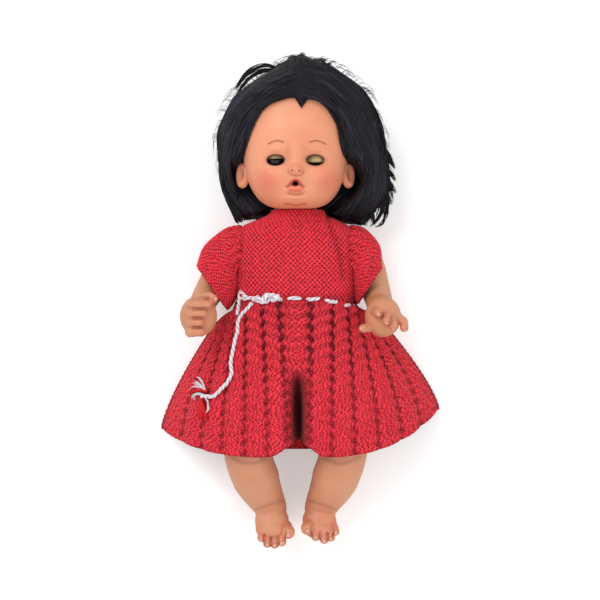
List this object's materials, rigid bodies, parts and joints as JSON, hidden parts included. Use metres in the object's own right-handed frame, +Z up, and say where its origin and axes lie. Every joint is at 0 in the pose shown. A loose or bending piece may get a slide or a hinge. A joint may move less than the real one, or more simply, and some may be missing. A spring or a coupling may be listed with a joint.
{
  "type": "baby doll",
  "caption": "Hollow vinyl baby doll with rooted hair, sleeping eyes, a drinking mouth, turning head and limbs, and a knitted dress with a waist drawstring, lying on its back.",
  "frame": {"origin": "on the surface the doll lies on, under the middle of the skirt's flat back", "axes": "+Y towards the crown, +X towards the doll's left hand, +Z up out of its front"},
  "size_m": [0.238, 0.4153, 0.1035],
  "materials": {
    "skin_vinyl": "soft satin vinyl skin",
    "body_vinyl": "satin vinyl",
    "hair_fibre": "rooted black nylon fibre",
    "red_knit": "hand-knitted red yarn",
    "white_cord": "crocheted white yarn",
    "tassel_yarn": "red and white yarn strands",
    "eye_white": "glossy",
    "iris_dark": "glossy dark",
    "lid_paint": "painted tan",
    "lash_fibre": "black bristle",
    "case_plastic": "moulded",
    "eye_metal": "steel",
    "tube_plastic": "flexible tube"
  },
  "bodies": {
    "torso": {"torso_shell": "body_vinyl", "bodice": "red_knit", "skirt_front": "red_knit", "skirt_back": "red_knit", "waist_cord": "white_cord", "tie_knot": "white_cord", "tie_cord_long": "white_cord", "tie_cord_short": "white_cord", "tassel": "tassel_yarn"},
    "head": {"head_shell": "skin_vinyl", "drink_tube": "tube_plastic", "hair_left": "hair_fibre", "hair_right": "hair_fibre", "hair_forelock": "hair_fibre", "eye_case_left": "case_plastic", "eye_case_right": "case_plastic"},
    "eye_left": {"eyeball_left": "eye_white", "iris_left": "iris_dark", "eyelid_left": "lid_paint", "eyelash_left": "lash_fibre", "eye_weight_left": "eye_metal", "eye_pin_left": "eye_metal"},
    "eye_right": {"eyeball_right": "eye_white", "iris_right": "iris_dark", "eyelid_right": "lid_paint", "eyelash_right": "lash_fibre", "eye_weight_right": "eye_metal", "eye_pin_right": "eye_metal"},
    "arm_left": {"arm_left": "skin_vinyl", "sleeve_left": "red_knit"},
    "arm_right": {"arm_right": "skin_vinyl", "sleeve_right": "red_knit"},
    "leg_left": {"leg_left": "skin_vinyl"},
    "leg_right": {"leg_right": "skin_vinyl"}
  },
  "joints": [
    {"name": "neck_swivel", "type": "hinge", "parent": "torso", "child": "head", "pos_m": [0, 0.112, 0.0374], "axis": [0, 1, 0], "range_deg": [-70, 70]},
    {"name": "eye_left_close", "type": "hinge", "parent": "head", "child": "eye_left", "pos_m": [0.0162, 0.157, 0.07897], "axis": [1, 0, 0], "range_deg": [-26.5, 5.5]},
    {"name": "eye_right_close", "type": "hinge", "parent": "head", "child": "eye_right", "pos_m": [-0.0162, 0.157, 0.07897], "axis": [1, 0, 0], "range_deg": [-8, 24]},
    {"name": "shoulder_left", "type": "hinge", "parent": "torso", "child": "arm_left", "pos_m": [0.043, 0.088, 0.0354], "axis": [-1, 0, 0], "range_deg": [-12, 80]},
    {"name": "shoulder_right", "type": "hinge", "parent": "torso", "child": "arm_right", "pos_m": [-0.043, 0.088, 0.0354], "axis": [-1, 0, 0], "range_deg": [-12, 80]},
    {"name": "hip_left", "type": "hinge", "parent": "torso", "child": "leg_left", "pos_m": [0.026, -0.002, 0.0344], "axis": [-1, 0, 0], "range_deg": [-20, 75], "deforming": ["skirt_front", "skirt_back"]},
    {"name": "hip_right", "type": "hinge", "parent": "torso", "child": "leg_right", "pos_m": [-0.026, -0.002, 0.0344], "axis": [-1, 0, 0], "range_deg": [-20, 75], "deforming": ["skirt_front", "skirt_back", "tie_cord_long", "tassel"]}
  ]
}
